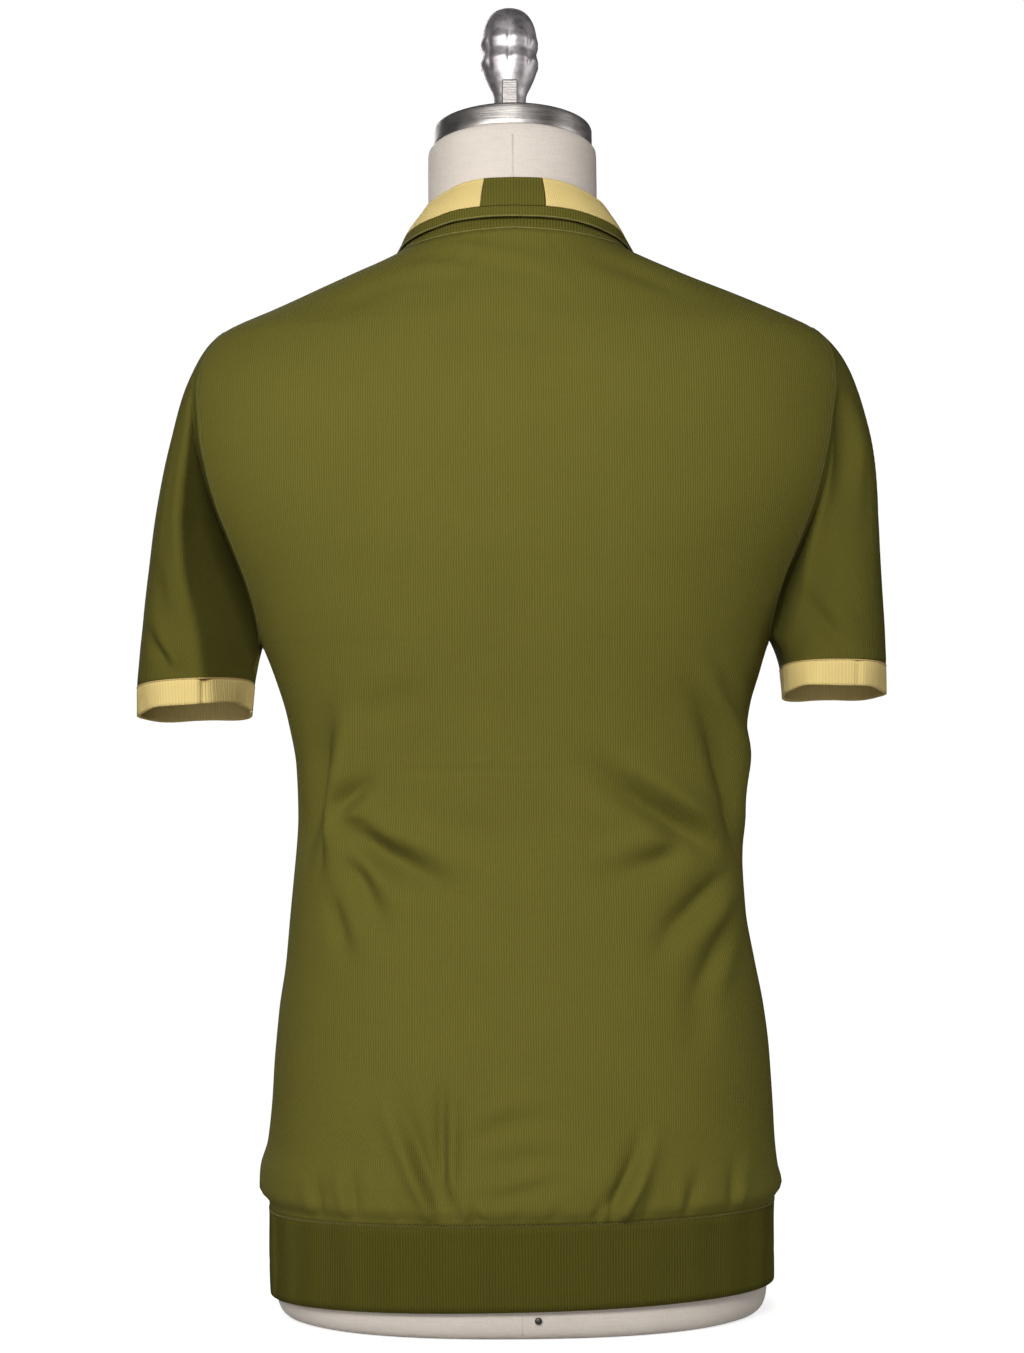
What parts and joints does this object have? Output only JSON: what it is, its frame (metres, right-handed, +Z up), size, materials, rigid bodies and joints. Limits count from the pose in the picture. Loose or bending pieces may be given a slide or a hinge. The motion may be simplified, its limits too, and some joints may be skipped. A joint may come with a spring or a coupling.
{
  "type": "polo shirt on dress form",
  "caption": "Short-sleeved knitted polo shirt with ribbed cuffs and waistband and a two-tone collar, worn by a limbless linen dress form with a metal neck cap and knob.",
  "frame": {"origin": "centre of the flat base that the dress form stands on", "axes": "+Z up along the form, -Y where the garment's front faces, +X towards the wearer's left sleeve"},
  "size_m": [0.5147, 0.2593, 0.9],
  "materials": {
    "green_jersey": "olive green plain fine-gauge knit, matt with a faint sheen",
    "green_rib": "olive green ribbed knit, matt",
    "green_collar": "olive green flat collar knit, matt",
    "yellow_rib": "pale yellow ribbed knit, matt",
    "yellow_collar": "pale yellow flat collar knit, matt",
    "linen": "off-white linen stretched on a hard form, matt",
    "cap_metal": "brushed grey metal",
    "knob_metal": "cast pewter-grey metal, satin",
    "nail_metal": "dark nail head",
    "button": "dyed-to-match plastic, soft gloss"
  },
  "bodies": {
    "root": {"form_torso": "linen", "form_neck_cap": "cap_metal", "form_finial": "knob_metal", "form_screw": "nail_metal", "back_panel": "green_jersey", "front_panel": "green_jersey", "sleeve_left": "green_jersey", "sleeve_right": "green_jersey", "waist_rib": "green_rib", "neckband": "green_rib", "cuff_left": "yellow_rib", "cuff_right": "yellow_rib", "collar_left": "yellow_collar", "collar_right": "yellow_collar", "collar_stripe": "green_collar", "collar_edging": "green_collar", "placket_under": "green_jersey", "placket_upper": "green_jersey", "button_1": "button", "button_2": "button", "button_3": "button"}
  },
  "joints": []
}
